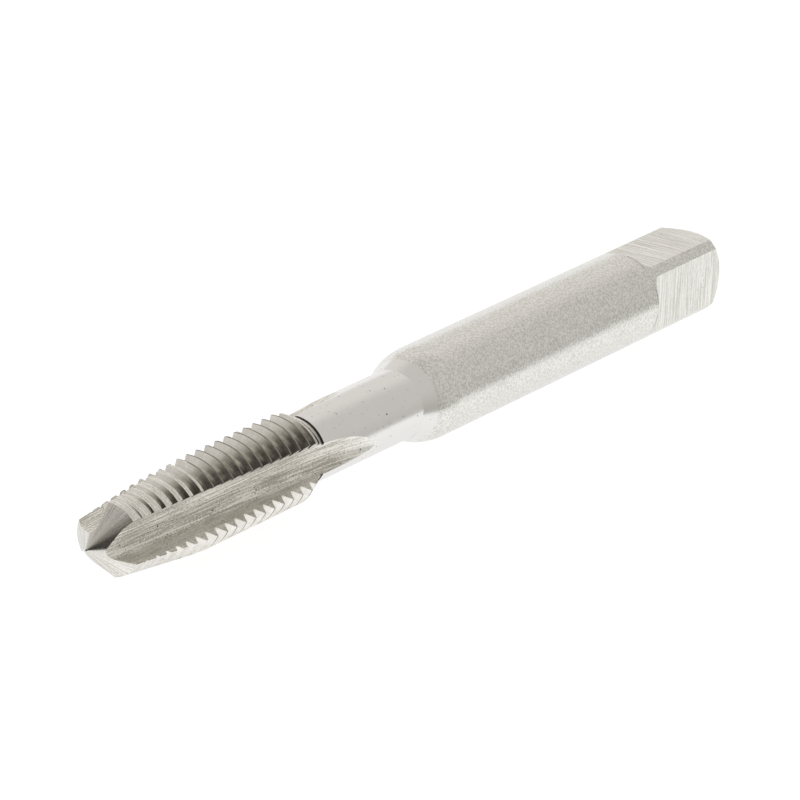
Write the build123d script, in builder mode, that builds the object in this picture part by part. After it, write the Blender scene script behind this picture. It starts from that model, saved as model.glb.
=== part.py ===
"""M6 x 1 three-flute hand tap, ground from one bar of high-speed steel.

The tool is built along Z from the tip of its centre point at the origin, and is then laid
along X with the middle of its shank at the origin, the tip towards -X and one flute down.
"""

import os
from math import radians, tan

from build123d import *

# Overall length behind the centre point, and the shank
body_length = 66.0
shank_dia = 6.2
neck_dia = 4.64
neck_length = 11.0
neck_cone_angle = 19.5
end_chamfer = 0.85

# Centre point on the threaded end
point_base_dia = 4.7
point_half_angle = 45.0
point_flat_dia = 0.12

# Thread, with a long lead at the front and a back chamfer into the relief beside the neck
thread_dia = 6.08
pitch = 1.0
thread_depth = 0.65
thread_length = 19.3
root_flat = 0.13
flank_angle = 30.0
turn_gap = 0.1
groove_start = 0.73
lead_angle = 5.5
back_chamfer_angle = 25.0
relief_width = 0.18
relief_depth = 0.09

# Flutes: the core radius is taken where the grinding wheel starts to lift out
flute_count = 3
core_radius = 1.53
core_taper = 1.9
flute_bottom_radius = 0.6
flute_bottom_offset = 0.24
rake_lean = 6.0
floor_slope = 5.0
floor_length = 1.0
heel_radius = 1.7
heel_angle = 60.0
mouth_turn = 22.5
wheel_radius = 36.0
wheel_lift_station = 21.0
wheel_arc = 25.0

# Square, turned from the flutes, and the centre hole in its end
square_width = 4.88
square_length = 9.0
square_root_radius = 0.9
square_turn = 66.3
centre_hole_dia = 0.8
centre_hole_depth = 1.8
centre_sink_dia = 1.7
centre_sink_angle = 60.0

# How far each cutter stands clear of the steel that it cuts
clear = 1.0

# Sizes that follow from the ones above
shank_radius = shank_dia / 2
neck_radius = neck_dia / 2
thread_radius = thread_dia / 2
root_radius = thread_radius - thread_depth
relief_radius = neck_radius - relief_depth
outlet = max(shank_radius, thread_radius) + clear
point_length = (point_base_dia - point_flat_dia) / 2 / tan(radians(point_half_angle))
total_length = point_length + body_length
lead_length = (thread_radius - point_base_dia / 2) / tan(radians(lead_angle))
thread_end = point_length + thread_length
back_chamfer_length = (thread_radius - neck_radius) / tan(radians(back_chamfer_angle))
neck_end = thread_end + neck_length
neck_cone_length = (shank_radius - neck_radius) / tan(radians(neck_cone_angle))
square_start = total_length - square_length
shank_middle = (neck_end + neck_cone_length + square_start) / 2

# The turned blank: point, lead, thread, relief, neck, cone and shank in one outline
with BuildPart() as blank:
    with BuildSketch(Plane.XZ):
        with BuildLine():
            Polyline(
                (0, 0),
                (point_flat_dia / 2, 0),
                (point_base_dia / 2, point_length),
                (thread_radius, point_length + lead_length),
                (thread_radius, thread_end - back_chamfer_length),
                (neck_radius, thread_end),
                (relief_radius, thread_end),
                (relief_radius, thread_end + relief_width),
                (neck_radius, thread_end + relief_width),
                (neck_radius, neck_end),
                (shank_radius, neck_end + neck_cone_length),
                (shank_radius, total_length - end_chamfer),
                (shank_radius - end_chamfer, total_length),
                (0, total_length),
                close=True,
            )
        make_face()
    revolve(axis=Axis.Z)

# The thread's groove: a 60 degree profile swept along a right-hand helix. Its top is wider
# than the crests need, but narrow enough for neighbouring turns not to meet.
groove_length = thread_end + clear - groove_start
groove_height = (pitch - turn_gap - root_flat) / 2 / tan(radians(flank_angle))

with BuildPart() as groove:
    with BuildLine() as groove_path:
        Helix(pitch, groove_length, root_radius, center=(0, 0, groove_start))
    with BuildSketch(Plane.XZ):
        with BuildLine():
            Polyline(
                (root_radius, groove_start - root_flat / 2),
                (root_radius + groove_height, groove_start - (pitch - turn_gap) / 2),
                (root_radius + groove_height, groove_start + (pitch - turn_gap) / 2),
                (root_radius, groove_start + root_flat / 2),
                close=True,
            )
        make_face()
    sweep(path=groove_path.line, is_frenet=True)

# One flute as the grinding wheel leaves it: a tapering run, then the arc of the wheel.
# In the wheel's plane x points out of the flute's mouth and y from the heel to the rake.
taper_tilt = Axis((0, 0, 0), (0, 1, 0))
wheel_plane = Plane(
    origin=(0, 0, wheel_lift_station),
    x_dir=Vector(1, 0, 0).rotate(taper_tilt, core_taper),
    z_dir=Vector(0, 0, 1).rotate(taper_tilt, core_taper),
)
wheel_centre = wheel_plane.from_local_coords((core_radius + wheel_radius, 0, 0))
rake_dir = Vector(1, 0).rotate(Axis.Z, rake_lean)
bottom_centre = Vector(core_radius + flute_bottom_radius, -flute_bottom_offset)
rake_foot = bottom_centre + rake_dir.rotate(Axis.Z, 90) * flute_bottom_radius

with BuildPart() as flute:
    with BuildSketch(wheel_plane) as flute_section:
        with BuildLine():
            rake = Line(rake_foot + rake_dir * outlet, rake_foot)
            bottom = JernArc(rake @ 1, rake % 1, flute_bottom_radius, 90 - rake_lean + floor_slope)
            floor = Line(bottom @ 1, bottom @ 1 + bottom % 1 * floor_length)
            heel = JernArc(floor @ 1, floor % 1, heel_radius, heel_angle - floor_slope)
            mouth = Line(heel @ 1, heel @ 1 + heel % 1 * outlet)
            Line(mouth @ 1, rake @ 0)
        make_face()
    extrude(amount=-(wheel_lift_station + clear))
    revolve(
        flute_section.sketch.face(),
        axis=Axis(wheel_centre, wheel_plane.y_dir),
        revolution_arc=wheel_arc,
    )

# One flat of the square, with the radius that the milling cutter leaves at its root
with BuildPart() as flat:
    with BuildSketch(Plane.XZ):
        with BuildLine():
            face = Line((square_width / 2, total_length + clear),
                        (square_width / 2, square_start + square_root_radius))
            root = JernArc(face @ 1, face % 1, square_root_radius, 90)
            Polyline(root @ 1, (outlet, square_start), (outlet, total_length + clear), face @ 0)
        make_face()
    extrude(amount=outlet, both=True)

# The finished tool, still along Z
with BuildPart() as ground:
    add(blank.part)
    add(groove.part, mode=Mode.SUBTRACT)
    with PolarLocations(0, flute_count, start_angle=270 + mouth_turn):
        add(flute.part, mode=Mode.SUBTRACT)
    with PolarLocations(0, 4, start_angle=square_turn):
        add(flat.part, mode=Mode.SUBTRACT)
    with Locations(Plane.XY.offset(total_length)):
        CounterSinkHole(
            centre_hole_dia / 2, centre_sink_dia / 2, centre_hole_depth, centre_sink_angle
        )

# Laid down: the tool's Z becomes X, and its own x becomes Y
bed = Plane(origin=(-shank_middle, 0, 0), x_dir=(0, 1, 0), z_dir=(1, 0, 0))
with BuildPart() as tap:
    with Locations(bed):
        add(ground.part)

tap.part.label = "tap"
os.makedirs("parts", exist_ok=True)
export_step(tap.part, "parts/tap.step")
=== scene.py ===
"""Looks of the M6 thread tap: one ground steel bar, its floor, the camera and the light."""

from collections import namedtuple
from math import cos, pi, radians, sin, sqrt, tan

import bmesh
import bpy
import numpy as np
from mathutils import Matrix, Vector


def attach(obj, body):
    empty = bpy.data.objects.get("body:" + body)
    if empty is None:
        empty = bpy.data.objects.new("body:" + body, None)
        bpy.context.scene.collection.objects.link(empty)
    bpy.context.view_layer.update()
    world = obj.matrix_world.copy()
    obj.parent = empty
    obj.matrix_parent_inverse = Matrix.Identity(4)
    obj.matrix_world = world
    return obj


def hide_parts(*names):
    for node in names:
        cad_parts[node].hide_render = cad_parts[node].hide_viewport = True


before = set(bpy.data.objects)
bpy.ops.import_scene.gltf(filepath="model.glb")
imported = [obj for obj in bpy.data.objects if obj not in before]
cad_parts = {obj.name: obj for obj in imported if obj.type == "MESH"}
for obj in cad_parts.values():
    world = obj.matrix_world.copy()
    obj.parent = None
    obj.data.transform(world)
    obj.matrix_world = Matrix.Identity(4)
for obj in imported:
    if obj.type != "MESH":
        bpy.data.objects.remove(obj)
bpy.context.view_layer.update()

MM = 0.001

# Sizes of the tap. Lengths are in millimetres, and stations run along its own axis from the tip
# of its point. Turns about the axis are in degrees.
BODY_LENGTH = 66.0
SHANK_R = 3.1
NECK_R = 2.32
NECK_LENGTH = 11.0
NECK_CONE = radians(19.5)
BLEND_R = 6.0
END_CHAMFER = 0.85
POINT_R = 2.35
POINT_FLAT_R = 0.06
THREAD_R = 3.04
PITCH = 1.0
THREAD_DEPTH = 0.65
THREAD_LENGTH = 19.3
ROOT_FLAT = 0.13
FLANK_TAN = tan(radians(30.0))
GROOVE_START = 0.73
LEAD_TAN = tan(radians(5.5))
BACK_CHAMFER_TAN = tan(radians(25.0))
RELIEF_WIDTH = 0.25
RELIEF_DEPTH = 0.09
CORE_R = 1.53
CORE_TAPER = radians(1.9)
BOTTOM_R = 0.6
BOTTOM_OFFSET = 0.24
RAKE_LEAN = radians(6.0)
FLOOR_SLOPE = radians(5.0)
FLOOR_LENGTH = 1.0
HEEL_R = 1.7
HEEL_ANGLE = radians(60.0)
FLUTES = 3
FLUTE_TURN = 360 // FLUTES
FIRST_FLUTE = 292.5
WHEEL_R = 36.0
LIFT_STATION = 21.0
FLAT_DISTANCE = 2.44
SQUARE_LENGTH = 9.0
SQUARE_ROOT_R = 0.9
SQUARE_TURN = 66.3
HOLE_R = 0.4
HOLE_DEPTH = 1.8
SINK_R = 0.85
SINK_TAN = tan(radians(30.0))

# Radii and stations that follow from the sizes
ROOT_R = THREAD_R - THREAD_DEPTH
RELIEF_R = NECK_R - RELIEF_DEPTH
POINT_END = POINT_R - POINT_FLAT_R
TOTAL = POINT_END + BODY_LENGTH
THREAD_END = POINT_END + THREAD_LENGTH
RELIEF_END = THREAD_END + RELIEF_WIDTH
NECK_END = THREAD_END + NECK_LENGTH
CONE_END = NECK_END + (SHANK_R - NECK_R) / tan(NECK_CONE)
BLEND_END = CONE_END + BLEND_R * tan(NECK_CONE / 2)
BLEND_LENGTH = BLEND_R * sin(NECK_CONE)
SQUARE_START = TOTAL - SQUARE_LENGTH
CHAMFER_START = TOTAL - END_CHAMFER
SHANK_MIDDLE = (CONE_END + SQUARE_START) / 2

# Stations that are chosen. The flutes have left the neck at FLUTES_OUT, its fine finish ends on
# the cone at FINE_END, and along the twist the columns shift from the flutes' to the square's.
FLUTES_OUT = 28.2
PLAIN_NECK = (29.2, 30.8)
CONE_MIDDLE = NECK_END + 0.5
FINE_END = NECK_END + 1.1
SHANK_ROW = 36.0
TWIST_START = 36.5
TWIST_END = SQUARE_START - 0.2

# How finely the surface is divided. SCAN is where the flute's edges are looked for, and then
# the rounds are how often they are found again at the stations that they lead to.
LAND_STEPS = 32
HEEL_STEPS, FLOOR_STEPS, BOTTOM_STEPS, RAKE_STEPS, MOUTH_STEPS = 9, 4, 10, 5, 2
FLUTE_STEPS = MOUTH_STEPS + HEEL_STEPS + FLOOR_STEPS + BOTTOM_STEPS + RAKE_STEPS
TURN_STEPS = FLUTES * (LAND_STEPS + FLUTE_STEPS)
POINT_ROWS, RUN_OUT_ROWS, BLEND_ROWS, TWIST_ROWS = 33, 48, 14, 40
SCAN = np.linspace(0.0, 5.0, 401)
EDGE_ROUNDS, LAND_ROUNDS = 6, 4
NO_WIDTH = 1e-6
MERGE = 1e-7
SHARP_ANGLE = radians(14)


def envelope(z):
    """Radius of the turned blank at station z, between the tip and the thread's end."""
    return np.minimum.reduce([
        POINT_FLAT_R + np.maximum(z, 0.0),
        POINT_R + (z - POINT_END) * LEAD_TAN,
        np.full_like(z, THREAD_R),
        NECK_R + (THREAD_END - z) * BACK_CHAMFER_TAN,
    ])


def unit(angle):
    """The direction at that angle in the wheel's plane."""
    return np.array([cos(angle), sin(angle)])


# The flute's section in the wheel's plane, by a parameter that runs through its five stretches:
# 0 to 1 the rake face inwards, to 2 the bottom's arc, to 3 the floor, to 4 the heel's arc and
# to 5 the straight way out of the mouth. The first and last are drawn past the bar's round.
STRAIGHT = SHANK_R + 1.0
BOTTOM_C = np.array([CORE_R + BOTTOM_R, -BOTTOM_OFFSET])
RAKE_DIR = unit(RAKE_LEAN)
RAKE_FOOT = BOTTOM_C + BOTTOM_R * np.array([-RAKE_DIR[1], RAKE_DIR[0]])
FLOOR_AT = BOTTOM_C - BOTTOM_R * unit(FLOOR_SLOPE)
FLOOR_DIR = np.array([sin(FLOOR_SLOPE), -cos(FLOOR_SLOPE)])
HEEL_AT = FLOOR_AT + FLOOR_LENGTH * FLOOR_DIR
HEEL_C = HEEL_AT + HEEL_R * unit(FLOOR_SLOPE)
HEEL_END = pi + HEEL_ANGLE
MOUTH_AT = HEEL_C + HEEL_R * unit(HEEL_END)
MOUTH_DIR = np.array([-sin(HEEL_END), cos(HEEL_END)])
BOTTOM_FROM, BOTTOM_TO = pi / 2 + RAKE_LEAN, pi + FLOOR_SLOPE
STRETCH_MM = np.array([STRAIGHT, BOTTOM_R * (BOTTOM_TO - BOTTOM_FROM), FLOOR_LENGTH,
                       HEEL_R * (HEEL_ANGLE - FLOOR_SLOPE), STRAIGHT])


def stretch_and_share(t):
    """Which of the five stretches each parameter lies on, and its share of the way along it."""
    stretch = np.clip(t.astype(int), 0, len(STRETCH_MM) - 1)
    return stretch, t - stretch


def section(t):
    """Points of the flute's section, in the wheel's plane."""
    stretch, share = stretch_and_share(np.asarray(t, float))
    stretch, share = stretch[..., None], share[..., None]
    bottom = BOTTOM_FROM + share * (BOTTOM_TO - BOTTOM_FROM)
    heel = BOTTOM_TO + share * (HEEL_END - BOTTOM_TO)
    points = [
        RAKE_FOOT + (1 - share) * STRAIGHT * RAKE_DIR,
        BOTTOM_C + BOTTOM_R * np.concatenate([np.cos(bottom), np.sin(bottom)], -1),
        FLOOR_AT + share * FLOOR_LENGTH * FLOOR_DIR,
        HEEL_C + HEEL_R * np.concatenate([np.cos(heel), np.sin(heel)], -1),
        MOUTH_AT + share * STRAIGHT * MOUTH_DIR,
    ]
    return np.select([stretch == n for n in range(len(points))], points)


def flute_surface(t, z):
    """Where the ground flute lies at parameter t and station z, before its turn about the axis.
    Up to the lift station the wheel runs straight along its taper, and then it swings out."""
    points = section(t)
    x, y = points[..., 0], points[..., 1]
    rise = z - LIFT_STATION
    wheel_centre = CORE_R + WHEEL_R
    from_centre = wheel_centre - x
    sine = (rise + wheel_centre * sin(CORE_TAPER)) / from_centre
    swing = np.arcsin(np.clip(sine, -1, 1)) - CORE_TAPER
    run = (rise + x * sin(CORE_TAPER)) / cos(CORE_TAPER)
    lifted = swing > 0
    x_in = np.where(lifted, wheel_centre - from_centre * np.cos(swing), x)
    z_in = np.where(lifted, from_centre * np.sin(swing), run)
    return x_in * cos(CORE_TAPER) + z_in * sin(CORE_TAPER), y


def crossings(z, radius):
    """The flute's parameters where it meets the round of that radius: at the rake and heel.
    Where the flute doesn't reach the round, both are the parameter that comes nearest."""
    x, y = flute_surface(SCAN[None, :], z[:, None])
    gap = np.hypot(x, y) - radius[:, None]
    inside = gap < 0
    rows = np.arange(len(z))
    first = inside.argmax(1)
    last = inside.shape[1] - 1 - inside[:, ::-1].argmax(1)
    nearest = SCAN[gap.argmin(1)]
    found = []
    for before, after in ((first - 1, first), (last, last + 1)):
        before = np.clip(before, 0, len(SCAN) - 2)
        after = np.clip(after, 1, len(SCAN) - 1)
        gap_before, gap_after = gap[rows, before], gap[rows, after]
        change = gap_before - gap_after
        share = gap_before / np.where(change == 0, 1, change)
        t = SCAN[before] + np.clip(share, 0, 1) * (SCAN[after] - SCAN[before])
        found.append(np.where(inside.any(1), t, nearest))
    return found


def flute_parameters(t_rake, t_heel):
    """Parameters of the flute's columns, from the heel's edge to the rake's, one row each."""
    def run(start, end, steps):
        return start + (end - start) * (np.arange(steps) / steps)

    t_rake, t_heel = t_rake[:, None], t_heel[:, None]
    t = np.concatenate([
        run(np.maximum(t_heel, 4), 4, MOUTH_STEPS),
        run(np.full_like(t_heel, 4), 3, HEEL_STEPS),
        run(np.full_like(t_heel, 3), 2, FLOOR_STEPS),
        run(np.full_like(t_heel, 2), 1, BOTTOM_STEPS),
        run(np.maximum(t_rake, 1), t_rake, RAKE_STEPS),
    ], 1)
    return np.clip(t, t_rake, t_heel)


def groove_half(z):
    """Half of the groove's width where its flank meets the blank's round at station z."""
    return ROOT_FLAT / 2 + np.maximum(envelope(z) - ROOT_R, 0) * FLANK_TAN


def tapering(z, angle):
    """Radius of the blank before its groove is cut."""
    return envelope(z)


def threaded(z, angle):
    """Radius of the threaded round: the helical groove in the blank's envelope."""
    phase = z - GROOVE_START - angle * PITCH / 360
    off = np.abs((phase + PITCH / 2) % PITCH - PITCH / 2)
    groove = ROOT_R + np.maximum(off - ROOT_FLAT / 2, 0) / FLANK_TAN
    return np.minimum(envelope(z), groove)


def relieved(z, angle):
    """Radius of the narrow groove behind the thread."""
    return np.full(z.shape, RELIEF_R)


def neck_round(z, angle):
    """Radius of the neck, its cone and the large soft radius between the cone and the shank."""
    cone = NECK_R + (z - NECK_END) * tan(NECK_CONE)
    from_end = np.clip(BLEND_END - z, 0, BLEND_R)
    arc = SHANK_R - BLEND_R + np.sqrt(BLEND_R ** 2 - from_end ** 2)
    return np.clip(np.where(from_end < BLEND_LENGTH, arc, cone), NECK_R, SHANK_R)


# The fields of a vertex are its polar angle, its station, its flute parameter and its radius
ANGLE, STATION = 0, 1
FluteEdge = namedtuple("FluteEdge", "t angle z")


class Rows:
    """Vertex rows round the tool. Each has a seat along the axis. A plain row stays there. A
    thread row climbs a pitch a turn, between two stations, and keeps to its place on the
    profile: side times (its share of the flank, and then its share of the crest's flat)."""

    def __init__(self, seats, radius_at, low=0.0, high=TOTAL, profile=None):
        self.seats = np.asarray(seats, float)[:, None]
        self.radius_at = radius_at
        self.low = low
        self.high = high
        self.profile = profile

    def station(self, angle, z):
        """Stations of the rows at those angles, where the last estimate of them is z."""
        if self.profile is None:
            return np.broadcast_to(self.seats, angle.shape)
        side, flank, crest = np.array(self.profile, float).T[..., None]
        half = groove_half(z)
        off = ROOT_FLAT / 2 + flank * (half - ROOT_FLAT / 2) + crest * (PITCH / 2 - half)
        return np.clip(self.seats + angle * PITCH / 360 + side * off, self.low, self.high)

    def edge(self, turn, at_heel):
        """Where the rows meet the rake's or the heel's edge of the flute at that turn."""
        angle = np.full_like(self.seats, turn)
        z = self.seats if self.profile is None else self.seats + angle * PITCH / 360
        for _ in range(EDGE_ROUNDS):
            z = self.station(angle, z)
            t_rake, t_heel = crossings(z[:, 0], self.radius_at(z, angle)[:, 0])
            t = (t_heel if at_heel else t_rake)[:, None]
            x, y = flute_surface(t, z)
            angle = turn + np.degrees(np.arctan2(y, x))
        return FluteEdge(t[:, 0], angle[:, 0], z)

    def flute(self, turn, rake, heel):
        """Fields of the columns that lie on one flute."""
        t = flute_parameters(rake.t, heel.t)
        angle = np.full_like(t, turn)
        z = np.broadcast_to(rake.z, t.shape)
        for _ in range(EDGE_ROUNDS):
            z = self.station(angle, z)
            x, y = flute_surface(t, z)
            angle = turn + np.degrees(np.arctan2(y, x))
        radius = np.hypot(x, y)
        missed = heel.t - rake.t < NO_WIDTH
        radius[missed] = self.radius_at(z, angle)[missed]
        return angle, z, t, radius

    def land(self, rake, next_heel, z):
        """Fields of the columns on the land between the rake's edge and the next flute's heel.
        The parameter there is -1, less the rake's own in the column that the rake ends at."""
        share = np.arange(LAND_STEPS) / LAND_STEPS
        angle = rake.angle[:, None] + (next_heel.angle - rake.angle)[:, None] * share
        for _ in range(LAND_ROUNDS):
            z = self.station(angle, np.broadcast_to(z[:, -1:], angle.shape))
        t = np.full_like(z, -1.0)
        t[:, 0] -= rake.t
        return angle, z, t, self.radius_at(z, angle)

    def solve(self):
        """Fields of every vertex, with the angles in radians."""
        turns = [FIRST_FLUTE + FLUTE_TURN * k for k in range(FLUTES + 1)]
        edges = [(self.edge(turn, False), self.edge(turn, True)) for turn in turns]
        parts = []
        for k in range(FLUTES):
            rake, heel = edges[k]
            _, next_heel = edges[k + 1]
            flute = self.flute(turns[k], rake, heel)
            parts += [flute, self.land(rake, next_heel, flute[STATION])]
        angle, z, t, radius = (np.concatenate(field, 1) for field in zip(*parts))
        return np.stack([np.radians(angle), z, t, radius])


# Side, share of the flank and share of the crest of the seven rows that carry each pitch. The
# faces that begin at the crest rows are the crest's.
PROFILE = [(1, 0, 0), (1, 0.5, 0), (1, 1, 0), (1, 1, 1), (-1, 1, 0), (-1, 0.5, 0), (-1, 0, 0)]
CREST_ROWS = (2, 3)
SPARE_PITCHES = 2


def thread_rows():
    """The thread's rows. The ones that start before it or go past it are held at its ends."""
    before = (FIRST_FLUTE + 360 + FLUTE_TURN) / 360
    after = (FIRST_FLUTE - FLUTE_TURN) / 360
    first = int((POINT_END - GROOVE_START) / PITCH - before) - SPARE_PITCHES
    last = int((THREAD_END - GROOVE_START) / PITCH - after) + SPARE_PITCHES
    seats, profile = [], []
    for pitch in range(first, last + 1):
        for side, flank, crest in PROFILE:
            groove = pitch if side > 0 else pitch + 1
            seats.append(GROOVE_START + PITCH * groove)
            profile.append((side, flank, crest))
    return Rows(seats, threaded, POINT_END, THREAD_END, profile)


def neck_rows():
    """The neck's rows: close ones where the flutes run out, then what its cone needs."""
    run_out = np.linspace(RELIEF_END, FLUTES_OUT, RUN_OUT_ROWS)
    blend = np.linspace(BLEND_END - BLEND_LENGTH, BLEND_END, BLEND_ROWS)
    cone = (NECK_END, CONE_MIDDLE, FINE_END)
    return Rows([*run_out, *PLAIN_NECK, *cone, *blend, SHANK_ROW], neck_round)


# The shank's columns: a quarter turn carries one flat of the square and one corner strip, and
# the corner is half of the angle that a flat takes up
QUARTER_STEPS = FLUTES * LAND_STEPS // 4
FLAT_STEPS = QUARTER_STEPS // 2
STRIP_STEPS = QUARTER_STEPS - FLAT_STEPS
FULL_CORNER = np.arccos(FLAT_DISTANCE / SHANK_R)
# The shank's rings: the twist's, those spread in the root radius of the square, plain ones along
# it, and the chamfer's. The last ring before the square's cut and the first after it are round.
TWIST_STATIONS = np.linspace(TWIST_START, TWIST_END, TWIST_ROWS)
ROOT_SHARES = np.linspace(0, 1, 13) ** 1.6
PLAIN_SQUARE = (62.0, 64.0, 66.0)
CHAMFER_ROWS = 9
BEFORE_CUT, AFTER_CUT = 0.03, 0.02
END_RING_R = 1.5


def back_radius(z):
    """Radius of the shank and its end chamfer."""
    return np.minimum(SHANK_R, SHANK_R - END_CHAMFER + TOTAL - z)


def flat_distance(z):
    """Distance of the flats from the axis, with the cutter's radius at their root."""
    drop = np.clip(z - SQUARE_START, 0, SQUARE_ROOT_R)
    return FLAT_DISTANCE + SQUARE_ROOT_R - np.sqrt(
        SQUARE_ROOT_R ** 2 - (SQUARE_ROOT_R - drop) ** 2)


def back_ring(z, r, cut):
    """Angles and radii of a ring of the shank: on each flat, then on the strip after it. A ring
    that the square doesn't cut is round, in the same columns."""
    corner = np.arccos(min(1.0, flat_distance(z) / r)) if cut else FULL_CORNER
    side = np.linspace(-1, 1, FLAT_STEPS + 1)[:-1]
    share = np.linspace(0, 1, STRIP_STEPS + 1)[:-1]
    if cut:
        x, y = r * cos(corner), side * r * sin(corner)
        on_flat, flat_radii = np.arctan2(y, x), np.hypot(y, x)
    else:
        on_flat, flat_radii = side * corner, np.full(FLAT_STEPS, r)
    angles, radii = [], []
    for k in range(4):
        turn = radians(SQUARE_TURN + 90 * (k + 3))
        angles += [turn + on_flat, turn + corner + share * (pi / 2 - 2 * corner)]
        radii += [flat_radii, np.full(STRIP_STEPS, r)]
    return np.concatenate(angles), np.concatenate(radii)


def back_rings():
    """Station, radius and whether the square cuts it: each ring from the shank to the hole."""
    root_end = SQUARE_START + SQUARE_ROOT_R
    depth_left = SQUARE_ROOT_R - SHANK_R + FLAT_DISTANCE
    cut_start = root_end - sqrt(SQUARE_ROOT_R ** 2 - depth_left ** 2)
    cut_end = TOTAL - (FLAT_DISTANCE - SHANK_R + END_CHAMFER)
    after_cut = cut_end + AFTER_CUT
    rings = [(z, SHANK_R, False) for z in (*TWIST_STATIONS, cut_start - BEFORE_CUT)]
    rings += [(cut_start + (root_end - cut_start) * share, SHANK_R, True) for share in ROOT_SHARES]
    rings += [(z, SHANK_R, True) for z in PLAIN_SQUARE]
    rings += [(z, back_radius(z), True) for z in np.linspace(CHAMFER_START, cut_end, CHAMFER_ROWS)]
    rings += [(after_cut, back_radius(after_cut), False)]
    rings += [(TOTAL, r, False) for r in (SHANK_R - END_CHAMFER, END_RING_R, SINK_R)]
    rings += [(TOTAL - (SINK_R - HOLE_R) / SINK_TAN, HOLE_R, False)]
    rings += [(TOTAL - HOLE_DEPTH, r, False) for r in (HOLE_R, 0.0)]
    return rings


def back_fields():
    """Fields of the back end's vertices. Its columns follow on from the lands', and all of a
    flute's columns come together in one."""
    columns = np.concatenate([
        np.r_[np.full(FLUTE_STEPS, k * LAND_STEPS), k * LAND_STEPS + np.arange(LAND_STEPS)]
        for k in range(FLUTES)])
    steps = FLUTES * LAND_STEPS
    even = radians(FIRST_FLUTE) + np.arange(steps) * 2 * pi / steps
    rows = []
    for n, (station, r, cut) in enumerate(back_rings()):
        angles, radii = back_ring(station, r, cut)
        if n < TWIST_ROWS:
            angles = even + (angles - even) * (n + 1) / TWIST_ROWS
        rows.append([angles[columns], np.full(TURN_STEPS, station),
                     np.full(TURN_STEPS, -1.0), radii[columns]])
    return np.array(rows).transpose(1, 0, 2)


# Regions of the surface, each with a finish of its own
POINT, FLANK, CREST, EDGE, FLUTE, RAKE, RELIEF, NECK, SHANK, FLAT, END = range(11)
# A face within this distance of a round counts as on it. A face past this station, or that
# reaches inside this radius, is the end's.
ON_ROUND = 0.004
END_STATION = TOTAL - 1e-4
END_FACE_R = SHANK_R - END_CHAMFER - 0.01


class Block:
    """A stretch of the bar: the numbers of its vertices and their fields, row by row. Closing
    a row on its first column takes the thread a whole pitch on, which is jump rows."""

    def __init__(self, region, fields, first_vertex, jump=0):
        self.region = region
        self.fields = fields
        self.row_count = fields.shape[1]
        self.index = first_vertex + np.arange(fields[0].size).reshape(fields[0].shape)
        self.jump = jump

    def points(self):
        """Places of the vertices in the frame, in millimetres."""
        angle, z, _, radius = self.fields
        points = [z - SHANK_MIDDLE, radius * np.cos(angle), radius * np.sin(angle)]
        return np.stack(points, -1).reshape(-1, 3)

    def closed_row(self, row, jump):
        """A row's vertices and fields, followed by those that it closes on."""
        closing = min(row + jump, self.row_count - 1)
        index = np.append(self.index[row], self.index[closing, 0])
        fields = np.append(self.fields[:, row], self.fields[:, closing, :1], 1)
        fields[ANGLE, -1] += 2 * pi
        return index, fields


def four_corners(low, high):
    """The corners of the faces between two rows, in order round each face."""
    return np.stack([low[..., :-1], low[..., 1:], high[..., 1:], high[..., :-1]], -1)


def make_blocks():
    """The blocks from the tip to the centre hole."""
    stretches = (
        (POINT, Rows(np.linspace(0, POINT_END, POINT_ROWS), tapering).solve(), 0),
        (FLANK, thread_rows().solve(), len(PROFILE)),
        (RELIEF, Rows([THREAD_END, RELIEF_END], relieved).solve(), 0),
        (NECK, neck_rows().solve(), 0),
        (SHANK, back_fields(), 0),
    )
    blocks = []
    first_vertex = 0
    for region, fields, jump in stretches:
        blocks.append(Block(region, fields, first_vertex, jump))
        first_vertex += fields[0].size
    return blocks


def join_blocks(blocks):
    """Corners, corner fields and regions of the faces: rows are joined along the axis, inside
    each block and to the block before it, and columns round it."""
    corners, fields, regions = [], [], []
    for before, block in zip([None, *blocks], blocks):
        joins = [(before, before.row_count - 1, 0)] if before else []
        joins += [(block, row, row + 1) for row in range(block.row_count - 1)]
        for low, low_row, high_row in joins:
            jump = block.jump if low is block else 0
            low_index, low_fields = low.closed_row(low_row, jump)
            high_index, high_fields = block.closed_row(high_row, jump)
            corners.append(four_corners(low_index, high_index))
            fields.append(four_corners(low_fields, high_fields))
            on_crest = jump and low_row % len(PROFILE) in CREST_ROWS
            regions.append(np.full(TURN_STEPS, CREST if on_crest else block.region))
    return np.concatenate(corners), np.concatenate(fields, 1), np.concatenate(regions)


def on_flutes(t):
    """Which faces lie on a flute: those whose first column does."""
    return (t[:, 0] >= 0) & (t[:, 3] >= 0)


def unmarked(t):
    """The flute parameter itself, which a land's first column keeps as -1 less its own."""
    return np.where(t < 0, -1 - t, t)


def corner_uvs(fields, regions):
    """Two coordinates a corner, in millimetres: round the tool or across a flute, then along.
    On the threaded lands the second one stays with the groove, so a line along it is a turn."""
    angle, z, t, _ = fields
    ground = on_flutes(t)
    stretch, share = stretch_and_share(unmarked(t))
    start = np.concatenate([[0], np.cumsum(STRETCH_MM)])
    walked = start[stretch] + share * STRETCH_MM[stretch]
    u = np.where(ground[:, None], walked, angle * THREAD_R)
    on_thread = (regions >= FLANK) & (regions <= EDGE) & ~ground
    v = np.where(on_thread[:, None], z - np.degrees(angle) * PITCH / 360, z)
    return np.stack([u, v], -1)


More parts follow.
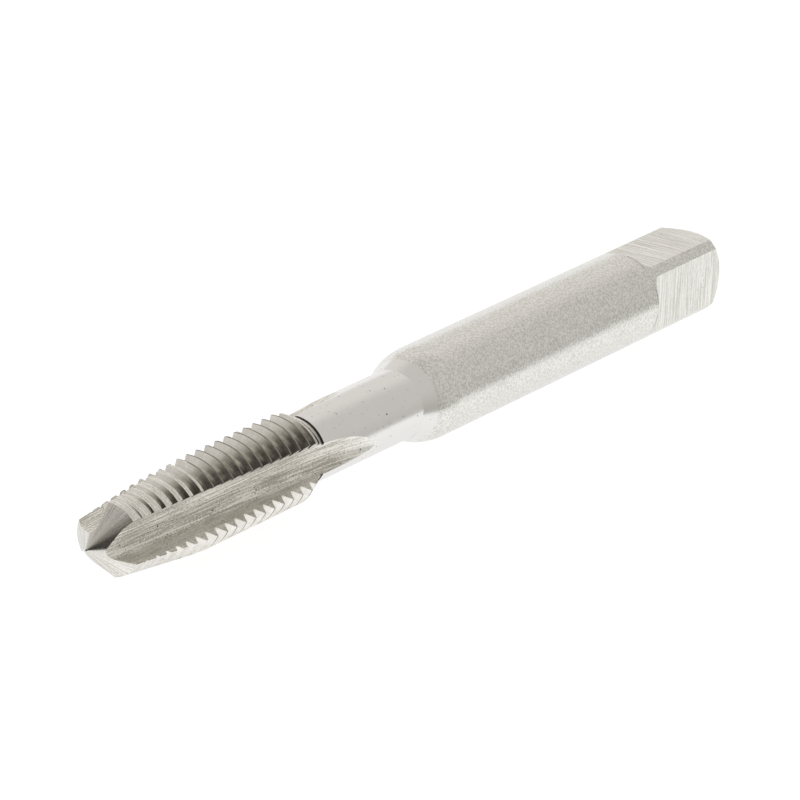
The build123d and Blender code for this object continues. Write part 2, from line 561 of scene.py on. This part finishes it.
def finish_regions(fields, regions):
    """Tells the ground flutes, the full crests and the square's flats from the turned surface
    round them."""
    _, z, t, radius = fields
    station, mean_r, least_r = z.mean(1), radius.mean(1), radius.min(1)
    regions = regions.copy()
    ground = on_flutes(t)
    regions[ground] = np.where(unmarked(t[ground]).mean(1) < 1, RAKE, FLUTE)
    regions[(regions == CREST) & (mean_r > THREAD_R - ON_ROUND)] = EDGE
    regions[(regions == NECK) & (station > FINE_END)] = SHANK
    back = regions == SHANK
    cut = (station > SQUARE_START) & (mean_r < back_radius(station) - ON_ROUND)
    regions[back & cut] = FLAT
    regions[back & ((station > END_STATION) | (least_r < END_FACE_R))] = END
    regions[(regions == SHANK) & (station > CHAMFER_START)] = END
    return regions


def make_tap(materials):
    """The whole bar as one mesh. Points that coincide are merged, so each place where a
    stretch has no width closes up."""
    blocks = make_blocks()
    points = np.concatenate([block.points() for block in blocks])
    corners, fields, regions = join_blocks(blocks)
    uvs = corner_uvs(fields, regions)
    regions = finish_regions(fields, regions)
    mesh = bpy.data.meshes.new("tap_ground")
    mesh.from_pydata((points * MM).tolist(), [], corners.tolist())
    layer = mesh.uv_layers.new(name="Along")
    layer.data.foreach_set("uv", uvs.reshape(-1).astype(np.float32))
    mesh.polygons.foreach_set("material_index", regions.astype(np.int32))
    for material in materials:
        mesh.materials.append(material)
    welded = bmesh.new()
    welded.from_mesh(mesh)
    bmesh.ops.remove_doubles(welded, verts=welded.verts, dist=MERGE)
    bmesh.ops.dissolve_degenerate(welded, edges=welded.edges, dist=MERGE)
    welded.to_mesh(mesh)
    welded.free()
    mesh.validate()
    mesh.shade_smooth()
    mesh.set_sharp_from_angle(angle=SHARP_ANGLE)
    piece = bpy.data.objects.new("tap_ground", mesh)
    bpy.context.scene.collection.objects.link(piece)
    return piece


# The colour sockets of a Mix node, whose other kinds share their names
MIX_FIRST, MIX_SECOND, MIX_RESULT = 6, 7, 2


class Nodes:
    """The nodes of a material or of the world, made and joined in few words."""

    def __init__(self, owner):
        owner.use_nodes = True
        self.tree = owner.node_tree

    def node(self, kind, **settings):
        made = self.tree.nodes.new("ShaderNode" + kind)
        for key, value in settings.items():
            setattr(made, key, value)
        return made

    def feed(self, socket, value):
        """Joins a socket to another one, or gives it a number or a colour."""
        if isinstance(value, bpy.types.NodeSocket):
            self.tree.links.new(value, socket)
        elif value is not None:
            socket.default_value = value

    def maths(self, operation, first, second=None, third=None, clamp=False):
        made = self.node("Math", operation=operation, use_clamp=clamp)
        for socket, value in zip(made.inputs, (first, second, third)):
            self.feed(socket, value)
        return made.outputs[0]

    def step(self, value, start, end, low=0.0, high=1.0):
        """A smooth step from low, where the value is start, to high, where it is end."""
        made = self.node("MapRange", interpolation_type="SMOOTHSTEP")
        for key, number in (("From Min", start), ("From Max", end),
                            ("To Min", low), ("To Max", high)):
            made.inputs[key].default_value = number
        self.feed(made.inputs["Value"], value)
        return made.outputs[0]

    def mix(self, share, first, second):
        made = self.node("Mix", data_type="RGBA")
        self.feed(made.inputs["Factor"], share)
        for place, value in ((MIX_FIRST, first), (MIX_SECOND, second)):
            self.feed(made.inputs[place], (*value, 1.0) if isinstance(value, tuple) else value)
        return made.outputs[MIX_RESULT]

    def split(self, vector):
        """The three components of a vector."""
        made = self.node("SeparateXYZ")
        self.feed(made.inputs[0], vector)
        return made.outputs


class Finish(Nodes):
    """A node material. Every length in it is in millimetres."""

    def __init__(self, name):
        self.material = bpy.data.materials.new(name)
        super().__init__(self.material)
        self.shader = self.tree.nodes["Principled BSDF"]

    def coordinates(self, across_map, stretch=(1, 1, 1)):
        """Coordinates in millimetres: the map along the surface, or the solid itself."""
        if across_map:
            source = self.node("UVMap", uv_map="Along").outputs[0]
            scale = stretch
        else:
            source = self.node("TexCoord").outputs["Object"]
            scale = tuple(part / MM for part in stretch)
        made = self.node("Mapping", vector_type="POINT")
        self.feed(made.inputs["Vector"], source)
        made.inputs["Scale"].default_value = scale
        return made.outputs[0]

    def noise(self, across_map, waves, detail=2.0, rough=0.5):
        """Noise with that many waves a millimetre in each direction."""
        made = self.node("TexNoise", noise_dimensions="3D")
        self.feed(made.inputs["Vector"], self.coordinates(across_map, waves))
        made.inputs["Scale"].default_value = 1.0
        made.inputs["Detail"].default_value = detail
        made.inputs["Roughness"].default_value = rough
        return made.outputs[0]

    def total(self, terms):
        """The sum of noises about their middle, each times its weight."""
        whole = 0.0
        for value, weight in terms:
            whole = self.maths("MULTIPLY_ADD", self.maths("SUBTRACT", value, 0.5), weight, whole)
        return whole

    def done(self, colour, rough, metal=1.0, height=None, height_mm=0.0):
        self.feed(self.shader.inputs["Base Color"], colour)
        self.feed(self.shader.inputs["Roughness"], rough)
        self.shader.inputs["Metallic"].default_value = metal
        if height is not None:
            bump = self.node("Bump")
            bump.inputs["Distance"].default_value = height_mm * MM
            bump.inputs["Strength"].default_value = 1.0
            self.feed(bump.inputs["Height"], height)
            self.feed(self.shader.inputs["Normal"], bump.outputs[0])
        return self.material


# A noise: its waves a millimetre, and its weight in the colour, the roughness and the bump
Layer = namedtuple("Layer", "waves tone gloss height")
LINES_DETAIL, GRAIN_DETAIL, CLOUD_DETAIL = 3, 2, 2
LAYER_ROUGH = 0.6

# Dirt in the thread's roots, painted shade on its flanks towards the heel and painted light on
# them next to the rake. A step is its start, its end, and its low and high where they aren't 0
# and 1. The first two go by the share of the way from one flute to the next, and the others by
# millimetres from the middle of the groove's root or along the tool.
# The first colour is both the roots' dirt and the flanks' painted shade; the second is the painted
# light next to the rake
SOIL_AND_SHADE = (0.1, 0.085, 0.065)
RAKE_LIGHT = (1.0, 0.99, 0.96)
RAKE_LIGHT_STEP = (0.12, 0.4, 0.45, 0.0)
HEEL_STEP = (0.5, 0.8, 0.1, 1.0)
FLANK_STEP = (0.26, 0.4)
ROOT_STEP = (0.06, 0.1, 0.6, 0.0)
PAST_LEAD = (7.0, 10.0)
# How much of the flanks' painted shade is left on their outer part
OUTER_SHADE = 0.62
RAGGED_WAVES = (1.6, 1.6, 1)
RAGGED_REACH = 0.36
HEEL_GLOSS = 0.2

# The flutes' run-out: the colour of its painted light, that colour's share, and its weight in
# the roughness
RUN_OUT_LIGHT = (1.0, 0.995, 0.98)
RUN_OUT_LIGHT_SHARE = 0.75
LIFTED_GLOSS = -0.2

# The pits, and the noise that says where they are and how far each reaches from its middle
PIT = (0.06, 0.055, 0.05)
PIT_SHARE = 0.85
PITS_A_MM = 4.0
PATCH_WAVES = (5.5, 5.5, 5.5)
PATCH_STEP = (0.5, 0.72)
PIT_REACH = 0.19
PIT_HEIGHT = 0.8


def soil_and_shade_grooves(steel, colour, gloss, soil_and_shade):
    """Dirt in the thread's roots, but for the lead's, and painted shade on the flanks, which
    darkens from the middle of the land towards the heel, most of all deep in the groove.
    Next to the rake the flanks get painted light."""
    round_it, along_it, _ = steel.split(steel.coordinates(True))
    off_groove = steel.maths("SUBTRACT", along_it, GROOVE_START)
    from_root = steel.maths("ABSOLUTE", steel.maths("WRAP", off_groove, PITCH / 2, -PITCH / 2))
    flute_turns = steel.maths("DIVIDE", round_it, THREAD_R * 2 * pi / FLUTES)
    from_flute = steel.maths("FRACT", steel.maths("SUBTRACT", flute_turns, FIRST_FLUTE / FLUTE_TURN))
    # Painted light on the flanks next to the rake
    colour = steel.mix(steel.step(from_flute, *RAKE_LIGHT_STEP), colour, RAKE_LIGHT)
    ragged = steel.maths("MULTIPLY_ADD", steel.noise(True, RAGGED_WAVES), RAGGED_REACH, from_flute)
    near_heel = steel.step(ragged, *HEEL_STEP)
    gloss.append((near_heel, HEEL_GLOSS))
    depth = steel.step(from_root, *FLANK_STEP, soil_and_shade, OUTER_SHADE * soil_and_shade)
    # Painted shade on the flanks, darkest deep in the groove and towards the heel
    flank_shade = steel.maths("MULTIPLY", depth, near_heel)
    root = steel.step(from_root, *ROOT_STEP)
    in_root = steel.maths("MULTIPLY", root, steel.step(along_it, *PAST_LEAD))
    return steel.mix(steel.maths("MAXIMUM", flank_shade, in_root), colour, SOIL_AND_SHADE)


def run_out_polish_and_painted_light(steel, colour, gloss, stations):
    """The flute is smoother where the wheel lifts out, between the stations, and painted light
    there stands in for the white floor that it reflects.
    """
    _, along_it, _ = steel.split(steel.coordinates(True))
    lifted = steel.step(along_it, *stations)
    gloss.append((lifted, LIFTED_GLOSS))
    # Painted reflection of the white floor on the run-out
    return steel.mix(steel.maths("MULTIPLY", lifted, RUN_OUT_LIGHT_SHARE), colour, RUN_OUT_LIGHT)


def strew_pits(steel, colour, height, size):
    """Small dark pits, where a noise lets them open. size is how wide they get."""
    spot = steel.node("TexVoronoi", feature="F1")
    steel.feed(spot.inputs["Vector"], steel.coordinates(False))
    spot.inputs["Scale"].default_value = PITS_A_MM
    patches = steel.noise(False, PATCH_WAVES, 1)
    reach = steel.step(patches, *PATCH_STEP, 0.0, PIT_REACH * size)
    inside = steel.maths("LESS_THAN", spot.outputs["Distance"], reach)
    height.append((steel.maths("SUBTRACT", 1.0, inside), PIT_HEIGHT))
    return steel.mix(steel.maths("MULTIPLY", inside, PIT_SHARE), colour, PIT)


def ground_steel(name, light, dark, rough, lines, grain, cloud, height_mm, pits=0.0,
                 soil_and_shade=0.0, run_out=None, across_map=True, rim=0.82):
    """Steel with grinding lines, a fine grain, slow clouds and a few dark pits. The bump is
    height_mm high. rim is how bright the steel is where it is seen at a low angle."""
    steel = Finish(name)
    tone, gloss, height = [], [], []
    for layer, detail in ((lines, LINES_DETAIL), (grain, GRAIN_DETAIL), (cloud, CLOUD_DETAIL)):
        value = steel.noise(across_map, layer.waves, detail, LAYER_ROUGH)
        tone.append((value, layer.tone))
        gloss.append((value, layer.gloss))
        height.append((value, layer.height))
    colour = steel.mix(steel.maths("ADD", steel.total(tone), 0.5, clamp=True), dark, light)
    # Dirt in the thread's roots, with painted shade and painted light on its flanks
    if soil_and_shade:
        colour = soil_and_shade_grooves(steel, colour, gloss, soil_and_shade)
    # Painted light and lower roughness on the flute's run-out
    if run_out:
        colour = run_out_polish_and_painted_light(steel, colour, gloss, run_out)
    if pits:
        colour = strew_pits(steel, colour, height, pits)
    steel.shader.inputs["Specular Tint"].default_value = (rim, rim, rim, 1)
    roughness = steel.maths("ADD", steel.total(gloss), rough, clamp=True)
    return steel.done(colour, roughness, height=steel.total(height), height_mm=height_mm)


def point_steel():
    """The cone point: lines run out from its tip."""
    return ground_steel(
        "point_steel", light=(0.92, 0.91, 0.87), dark=(0.5, 0.485, 0.44), rough=0.24,
        lines=Layer((15, 0.3, 1), 2.6, 0.1, 0.6), grain=Layer((7, 7, 1), 1.2, 0.1, 0.3),
        cloud=Layer((0.8, 0.8, 1), 0.5, 0.1, 0), height_mm=0.0024, pits=0.6)


def flank_steel():
    """The thread's flanks and roots: lines run along the groove, with dirt in its roots, and its
    flanks get painted shade towards the heel and painted light next to the rake.
    """
    return ground_steel(
        "flank_steel", light=(1.0, 0.985, 0.93), dark=(0.52, 0.49, 0.43), rough=0.24,
        lines=Layer((0.25, 12, 1), 0.9, 0.1, 0.5), grain=Layer((5, 8, 1), 0.7, 0.1, 0.3),
        cloud=Layer((1.3, 1.0, 1), 1.2, 0.1, 0), height_mm=0.0016, pits=0.5, soil_and_shade=0.87, rim=0.95)


def crest_steel():
    """The crests of the lead and the back chamfer, which are still wide."""
    return ground_steel(
        "crest_steel", light=(0.97, 0.955, 0.91), dark=(0.56, 0.54, 0.49), rough=0.3,
        lines=Layer((0.25, 10, 1), 2.0, 0.1, 0.5), grain=Layer((5, 8, 1), 2.0, 0.1, 0.3),
        cloud=Layer((0.9, 0.7, 1), 0.5, 0.1, 0), height_mm=0.0016, pits=0.5)


def edge_steel():
    """The narrow crests of the full thread, which look like dark edges: their dark colour is
    painted shade.
    """
    # Both colours are painted dark for the shade on the crests
    return ground_steel(
        "edge_steel", light=(0.42, 0.4, 0.36), dark=(0.14, 0.13, 0.11), rough=0.45,
        lines=Layer((2.0, 3, 1), 1.2, 0.1, 0.5), grain=Layer((5, 8, 1), 0.5, 0.1, 0.3),
        cloud=Layer((0.9, 0.7, 1), 0.5, 0.1, 0), height_mm=0.0016)


def flute_steel():
    """The flutes' bottom, floor and heel: deep lines run along them, and their run-out gets
    painted light.
    """
    return ground_steel(
        "flute_steel", light=(0.99, 0.975, 0.92), dark=(0.52, 0.5, 0.445), rough=0.46,
        lines=Layer((8, 0.25, 1), 4.5, 0.2, 1.0), grain=Layer((9, 5, 1), 2.4, 0.1, 0.4),
        cloud=Layer((1.6, 0.15, 1), 1.2, 0.1, 0), height_mm=0.006, pits=1.7, run_out=(23.0, 29.0))


def rake_steel():
    """The flutes' rake faces."""
    return ground_steel(
        "rake_steel", light=(0.85, 0.835, 0.79), dark=(0.53, 0.51, 0.46), rough=0.36,
        lines=Layer((6, 0.4, 1), 2.2, 0.1, 0.6), grain=Layer((8, 5, 1), 2.0, 0.1, 0.4),
        cloud=Layer((1.2, 0.5, 1), 0.8, 0.1, 0), height_mm=0.004, pits=1.2)


def relief_steel():
    """The groove behind the thread, painted near black for the shadow that lies in it."""
    # Both colours are painted near black for the groove's shadow
    return ground_steel(
        "relief_steel", light=(0.2, 0.19, 0.17), dark=(0.05, 0.045, 0.04), rough=0.5,
        lines=Layer((0.4, 9, 1), 0.5, 0.05, 0.15), grain=Layer((7, 7, 7), 0.3, 0.1, 0.25),
        cloud=Layer((0.6, 0.6, 1), 0.3, 0.05, 0), height_mm=0.002)


def neck_steel():
    """The neck and the foot of its cone: ground fine."""
    return ground_steel(
        "neck_steel", light=(0.84, 0.835, 0.82), dark=(0.73, 0.725, 0.71), rough=0.22,
        lines=Layer((0.4, 9, 1), 0.25, 0.05, 0.15), grain=Layer((7, 7, 7), 0.4, 0.1, 0.25),
        cloud=Layer((0.6, 0.6, 1), 0.3, 0.05, 0), height_mm=0.002, pits=1.2, rim=0.9)


def shank_steel():
    """The shank: a strong even grain."""
    return ground_steel(
        "shank_steel", light=(0.85, 0.845, 0.81), dark=(0.63, 0.625, 0.595), rough=0.25,
        lines=Layer((5, 2.2, 2.2), 0.4, 0.1, 0.3), grain=Layer((6.5, 6.5, 6.5), 4.6, 0.3, 1.0),
        cloud=Layer((0.5, 0.5, 0.5), 0.3, 0.05, 0), height_mm=0.005, pits=0.6,
        across_map=False, rim=0.9)


def flat_steel():
    """The square's flats: deep lines run across them."""
    return ground_steel(
        "flat_steel", light=(0.99, 0.985, 0.945), dark=(0.63, 0.625, 0.585), rough=0.34,
        lines=Layer((0.2, 12, 1), 5.4, 0.2, 1.0), grain=Layer((3, 8, 1), 1.4, 0.1, 0.4),
        cloud=Layer((0.5, 2.6, 1), 0.9, 0.05, 0), height_mm=0.004, pits=1.1)


def end_steel():
    """The back end, its chamfer and the centre hole."""
    return ground_steel(
        "end_steel", light=(0.78, 0.775, 0.74), dark=(0.66, 0.655, 0.62), rough=0.32,
        lines=Layer((2, 8, 8), 0.5, 0.1, 0.5), grain=Layer((6, 6, 6), 0.4, 0.1, 0.4),
        cloud=Layer((0.8, 0.8, 0.8), 0.3, 0.05, 0), height_mm=0.003, pits=0.2, across_map=False)


FLOOR_SIDE = 6.0
FLOOR_GREYS = (0.3, 0.3, 0.3), (0.32, 0.32, 0.32)
FLOOR_ROUGH = 0.7
FLOOR_GLOW = 0.89
FIBRE_WAVES = (0.02, 0.02, 0.02)


def make_floor():
    """White paper under the shank, which glows so that shadows hardly show on it."""
    bpy.ops.mesh.primitive_plane_add(size=FLOOR_SIDE, location=(0, 0, -SHANK_R * MM))
    floor = bpy.context.object
    floor.name = "floor"
    paper = Finish("floor_paper")
    fibre = paper.noise(False, FIBRE_WAVES, 3)
    paper.feed(paper.shader.inputs["Emission Color"], (1.0, 1.0, 1.0, 1.0))
    paper.shader.inputs["Emission Strength"].default_value = FLOOR_GLOW
    floor.data.materials.append(paper.done(paper.mix(fibre, *FLOOR_GREYS), FLOOR_ROUGH, metal=0.0))
    return floor


# The camera looks along the tool from beside and above its point. TILT is how far its view
# turns from square on to the tool's axis, NEAR_TURN is the side of the tool that it faces, and
# ROLL is the picture's turn. The tip's place in the picture is from its middle, in millimetres.
TILT = radians(51.9725)
NEAR_TURN = radians(122.5)
ROLL = radians(25.2828)
TIP_RIGHT, TIP_LOW = -18.59896, 8.90808
TIP_DISTANCE = 408.4335
FOCAL_PX = 6893.5
PICTURE_PX = 800
SENSOR_MM = 36.0
NEAREST, FARTHEST = 0.01, 50.0


def make_camera():
    """The camera that the picture was taken with, as fitted to the tool's outline in it."""
    along = Vector((1, 0, 0))
    near = Vector((0, cos(NEAR_TURN), sin(NEAR_TURN)))
    above = Vector((0, sin(NEAR_TURN), -cos(NEAR_TURN)))
    level = cos(TILT) * along + sin(TILT) * near
    right = cos(ROLL) * level - sin(ROLL) * above
    low = -sin(ROLL) * level - cos(ROLL) * above
    depth = sin(TILT) * along - cos(TILT) * near
    tip = Vector((-SHANK_MIDDLE, 0, 0))
    eye = tip - (TIP_RIGHT * right + TIP_LOW * low + TIP_DISTANCE * depth)
    lens = bpy.data.cameras.new("camera")
    lens.sensor_width = SENSOR_MM
    lens.lens = FOCAL_PX * SENSOR_MM / PICTURE_PX
    lens.clip_start = NEAREST
    lens.clip_end = FARTHEST
    camera = bpy.data.objects.new("camera", lens)
    turn = Matrix((right, -low, -depth)).transposed().to_4x4()
    camera.matrix_world = Matrix.Translation(eye * MM) @ turn
    bpy.context.scene.collection.objects.link(camera)
    bpy.context.scene.camera = camera


# The surround's steps, each as start, end, low and high. It is dark where the camera stands,
# brighter at the far side, darker high up on the tip's side and a little darker low down.
CAMERA_SIDE = (-1.05, -0.3, 0.05, 0.68)
FAR_SIDE = (0.85, 1.25, 1.0, 1.27)
HIGH_UP = (0.45, 0.6, 0.0, 0.22)
OVER_TIP = (-0.4, 0.0, 1.0, 0.0)
LOW_DOWN = (0.05, 0.45, 0.88, 1.0)
TINT_STEP = (-1.0, -0.3, 0.0, 1.0)
CAMERA_SIDE_TINT = (1.0, 0.93, 0.8)
SURROUND_TINT = (1.0, 0.968, 0.93)
# The way away from the camera is X, this much of Y, and this much more of it behind the tool,
# where Y is positive
AWAY_Y, AWAY_BEHIND = 0.81, 0.5


def make_light():
    """The only light besides the floor's: a soft surround, like a light tent with the camera's
    dark opening."""
    world = bpy.data.worlds.new("surround")
    bpy.context.scene.world = world
    sky = Nodes(world)
    x, y, z = sky.split(sky.node("TexCoord").outputs["Generated"])
    behind = sky.maths("MAXIMUM", y, 0.0)
    away = sky.maths("ADD", x, sky.maths("MULTIPLY", y, AWAY_Y))
    away = sky.maths("ADD", away, sky.maths("MULTIPLY", behind, AWAY_BEHIND))
    over_tip = sky.maths("MULTIPLY", sky.step(z, *HIGH_UP), sky.step(x, *OVER_TIP))
    level = sky.step(away, *CAMERA_SIDE)
    for factor in (sky.step(sky.maths("ADD", x, y), *FAR_SIDE),
                   sky.maths("SUBTRACT", 1.0, over_tip),
                   sky.step(sky.maths("ADD", z, behind), *LOW_DOWN)):
        level = sky.maths("MULTIPLY", level, factor)
    tint = sky.mix(sky.step(away, *TINT_STEP), CAMERA_SIDE_TINT, SURROUND_TINT)
    background = sky.tree.nodes["Background"]
    sky.feed(background.inputs["Strength"], level)
    sky.feed(background.inputs["Color"], tint)


# The finishes, in the order of the regions
tap = make_tap([
    point_steel(), flank_steel(), crest_steel(), edge_steel(), flute_steel(), rake_steel(),
    relief_steel(), neck_steel(), shank_steel(), flat_steel(), end_steel(),
])
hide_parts("tap")
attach(tap, "root")
floor = make_floor()
make_camera()
make_light()
bpy.context.scene.view_settings.view_transform = "Standard"
